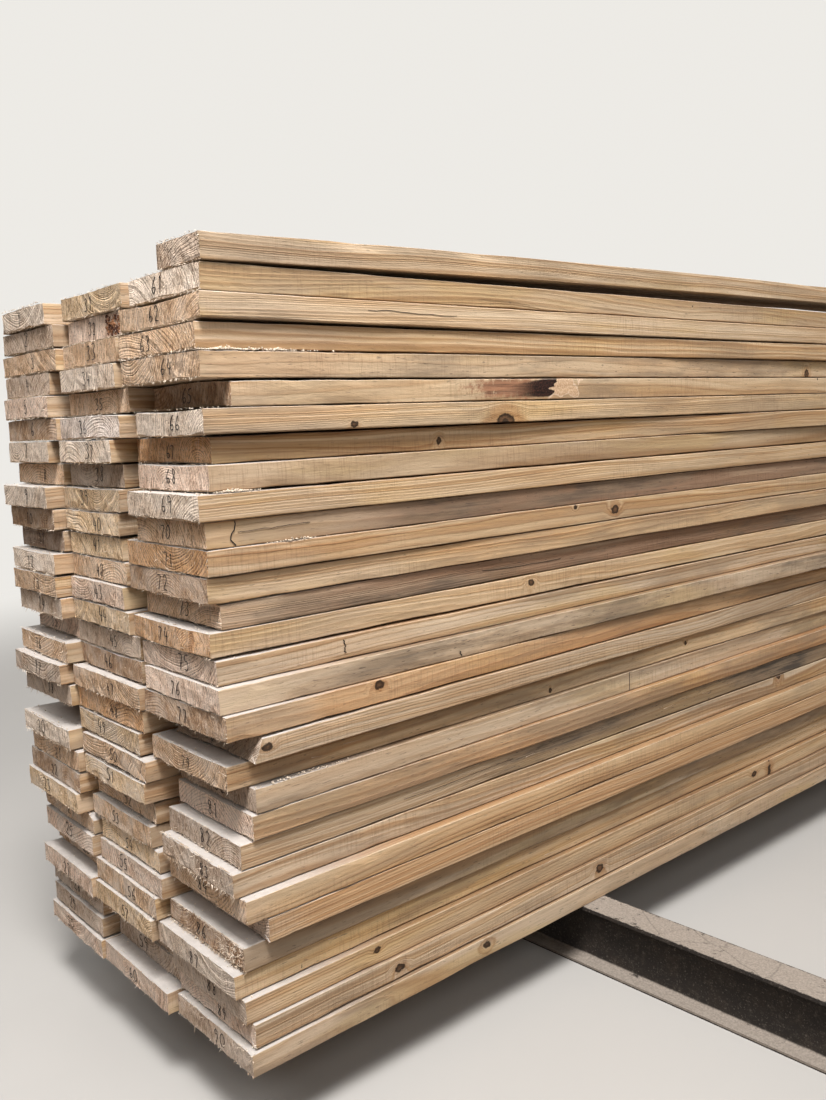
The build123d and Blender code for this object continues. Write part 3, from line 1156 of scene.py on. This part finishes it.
# %% Strokes of a pen
numerals = {
    "0": [[(.5, .98), (.2, .85), (.05, .5), (.2, .1), (.5, .02), (.75, .3), (.75, .7), (.5, .98)]],
    "1": [[(.3, .8), (.5, 1.), (.45, .5), (.42, .0)]],
    "2": [[(.1, .8), (.35, 1.), (.65, .85), (.6, .55), (.1, .05), (.4, .08), (.75, .02)]],
    "3": [[(.1, .9), (.45, 1.), (.65, .8), (.3, .55), (.7, .35), (.55, .05), (.1, .08)]],
    "4": [[(.35, 1.), (.1, .4), (.75, .42)], [(.6, .75), (.55, .0)]],
    "5": [[(.7, 1.), (.2, .95), (.15, .58), (.55, .6), (.7, .3), (.5, .03), (.1, .08)]],
    "6": [[(.6, 1.), (.25, .7), (.08, .3), (.3, .02), (.65, .15), (.6, .42), (.12, .35)]],
    "7": [[(.08, .95), (.7, .97), (.45, .5), (.32, .0)]],
    "8": [[(.6, .85), (.3, 1.), (.15, .78), (.65, .3), (.4, .0), (.12, .22), (.6, .7), (.6, .85)]],
    "9": [[(.65, .8), (.35, 1.), (.12, .75), (.35, .55), (.65, .75), (.55, .3), (.4, .0)]],
}
ink_thickness = 0.0003
pen = two_tone("pen", 0.7, (500.0, 2), (0.6, 0.85),
               colour(0.11, 0.08, 0.07), colour(0.40, 0.32, 0.27))


def ribbon(points, out, breadth):
    """A flat strip through these points, lying on a face that looks along out."""
    over = np.cross(np.gradient(points, axis=0), out)
    over = over / np.linalg.norm(over, axis=1)[:, None] * breadth / 2
    rims = np.empty((len(points) * 2, 3))
    rims[0::2], rims[1::2] = points + over, points - over
    return rims.tolist(), [(i, i + 2, i + 3, i + 1) for i in range(0, len(rims) - 2, 2)]


def strokes_piece(name, strokes, material):
    """One piece of all these ribbons, each closed to a thin solid."""
    vertices, faces = [], []
    for points, out, breadth in strokes:
        new_vertices, new_faces = ribbon(points, out, breadth)
        faces += [tuple(len(vertices) + corner for corner in face) for face in new_faces]
        vertices += new_vertices
    piece = new_piece(name, vertices, faces, material)
    select_only(piece)
    bpy.ops.object.modifier_add(type="SOLIDIFY")
    piece.modifiers[0].thickness = ink_thickness
    piece.modifiers[0].offset = -1
    bpy.ops.object.modifier_apply(modifier=piece.modifiers[0].name)
    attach(piece, "root")
    print(name, "has", len(strokes), "strokes,", len(piece.data.polygons), "faces")


def smooth_stroke(points):
    """The same stroke with its corners rounded."""
    points = np.asarray(points, float)
    for _ in range(2):
        cut = np.empty((2 * len(points) - 2, points.shape[1]))
        cut[0::2] = points[:-1] * 0.75 + points[1:] * 0.25
        cut[1::2] = points[:-1] * 0.25 + points[1:] * 0.75
        points = np.vstack((points[:1], cut, points[-1:]))
    return points


# %% Write the numbers
first_numbers = (61, 31, 1)  # of the right, the middle and the left column, from the top
pen_breadth = 0.0014
on_face = 0.0003  # how far the ink lies before the wood
rng = np.random.default_rng(17)
strokes = []
for (column, number), board in stack.items():
    if (column, number) == (0, 0):
        continue  # the narrow board on top has no number
    written = str(first_numbers[column] + number - (1 if column == 0 else 0))
    tall = rng.uniform(0.019, 0.025)
    start = board["width"] * rng.uniform(0.38, 0.62) + tall * 0.35 * len(written)
    foot = rng.uniform(0.006, 0.010)
    slant = rng.uniform(-0.05, 0.25)
    for place, sign in enumerate(written):
        high = tall * rng.uniform(0.9, 1.1)
        for stroke in numerals[sign]:
            line = smooth_stroke(stroke)
            a = start - place * tall * 0.72 - (line[:, 0] + slant * line[:, 1]) * high * 0.75
            h = foot + line[:, 1] * high
            s = board["slant"] * h / thickness - on_face
            points = np.clip(on_board(board, s, a, h), cad_box[0], cad_box[1])
            strokes.append((points, -board["run"], pen_breadth))
strokes_piece("tally_numbers", strokes, pen)

# %% [markdown]
# Some right boards have cracks. Those across the grain are where a piece has split off or was
# joined on, and those along it opened as the wood dried. A crack is a dark line with a shaky
# hand, so it is written in the same way.

# %% Cracks
off_side = -0.0002  # how far a crack's line lies before the wood
wide_crack, fine_crack = 0.0016, 0.0007
steps_across, steps_along = 9, 12
cracks = []
# across the grain: the board, how far along, from which height to which, and how shaky
for number, at, low, high, shaky in (
        (split_board, 0.045, 0.002, 0.036, 0.0022), (20, 0.86, 0.001, 0.0375, 0.0003),
        (15, 0.22, 0.010, 0.030, 0.0022), (16, 0.45, 0.003, 0.012, 0.0022)):
    board = stack[0, number]
    h = np.linspace(low, high, steps_across)
    s = at + np.cumsum(rng.normal(0, shaky, steps_across))
    cracks.append((on_board(board, s, off_side, h), -board["side"], wide_crack))
# along the grain: the board, how far along it begins, and how long it is
for number, at, long in (
        (split_board, 0.050, 0.12), (22, 0.30, 0.25), (13, 0.5, 0.2), (2, 0.28, 0.18)):
    board = stack[0, number]
    s = np.linspace(at, at + long, steps_along)
    h = thickness * 0.55 + np.cumsum(rng.normal(0, 0.0008, steps_along))
    cracks.append((on_board(board, s, off_side, h), -board["side"], fine_crack))
strokes_piece("cracks", cracks, pen)

# %% [markdown]
# ## The bearers
# The rolled section needs no new shape, so the CAD nodes stay and only get their finish: dark
# steel that has rusted, with pale dust on all that looks up. The dust has crumbled off the
# rims, so the material has to know how far a point is from the middle line of its bearer, the
# near one of which lies askew. Both lines are measured from the CAD nodes.

# %% Dusty steel
bearers = [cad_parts[name] for name in ("bearer_near", "bearer_far")]
near_middle, far_middle = (
    (places[:, 0].min() + places[:, 0].max()) / 2 for places in map(coordinates, bearers))
askew = math.radians(3)
flange_half = 0.032
flange_top = 0.0063
print("the bearers lie at", round(near_middle, 3), "and", round(far_middle, 3), "m")

steel, tree, shader = new_material("dusty_steel", 0.8)
spot = object_place(tree)
x, y, low = parts(tree, spot)
rust = noise(tree, spot, 18.0, 6, 0.7)
grain = noise(tree, spot, 260.0, 4, 0.7)
base = blend(tree, remap(tree, rust, 0.4, 0.7),
             colour(0.11, 0.09, 0.08), colour(0.17, 0.14, 0.12))
base = blend(tree, remap(tree, noise(tree, spot, 70.0, 6, 0.8), 0.50, 0.70, 0.0, 0.4), base,
             colour(0.38, 0.35, 0.32))
base = blend(tree, remap(tree, grain, 0.56, 0.72, 0.0, 0.6), base, colour(0.50, 0.47, 0.44))

# dust where the surface looks up, in patches
lying = remap(tree, maths(tree, "MULTIPLY_ADD", rust, 0.4, facing_of(tree)[2]), 0.5, 0.9)
dusty = maths(tree, "MULTIPLY", lying, remap(tree, noise(tree, spot, 45.0, 5, 0.7), 0.68, 0.58))
# crumbled off the rims
from_near = maths(tree, "MULTIPLY_ADD", maths(tree, "SUBTRACT", x, near_middle), math.cos(askew),
                  maths(tree, "MULTIPLY", y, math.sin(askew)))
from_line = maths(tree, "MINIMUM", maths(tree, "ABSOLUTE", from_near), maths(
    tree, "ABSOLUTE", maths(tree, "SUBTRACT", x, far_middle)))
crumbled = maths(tree, "MULTIPLY_ADD", noise(tree, spot, 120.0, 5, 0.8), 0.012, from_line)
dusty = maths(tree, "MULTIPLY", dusty, remap(
    tree, crumbled, flange_half + 0.0056, flange_half + 0.0036))
# cracked here and there
cracked = tree.nodes.new("ShaderNodeTexVoronoi")
cracked.feature = "DISTANCE_TO_EDGE"
cracked.inputs["Scale"].default_value = 7.0
feed(tree, cracked.inputs["Vector"], vectors(tree, "ADD", spot, vectors(
    tree, "MULTIPLY", (0.05, 0.05, 0.0), noise(tree, spot, 22.0, 3))))
dusty = maths(tree, "MULTIPLY", dusty, remap(
    tree, cracked.outputs["Distance"], 0.006, 0.012, 0.72, 1.0))
# and caked on the rim of the lower flange
rim = maths(tree, "MULTIPLY", remap(tree, low, flange_top + 0.0005, flange_top + 0.0001), remap(
    tree, maths(tree, "MULTIPLY_ADD", rust, 0.003, low), 0.0035, 0.0045))
dusty = maths(tree, "MAXIMUM", dusty, rim)
base = blend(tree, dusty, base, blend(
    tree, remap(tree, grain, 0.35, 0.65), colour(0.50, 0.465, 0.435), colour(0.59, 0.555, 0.52)))
feed(tree, shader.inputs["Base Color"], base)
roughen(tree, shader, grain, 0.5, 0.0012)
for bearer in bearers:
    bearer.data.materials.clear()
    bearer.data.materials.append(steel)
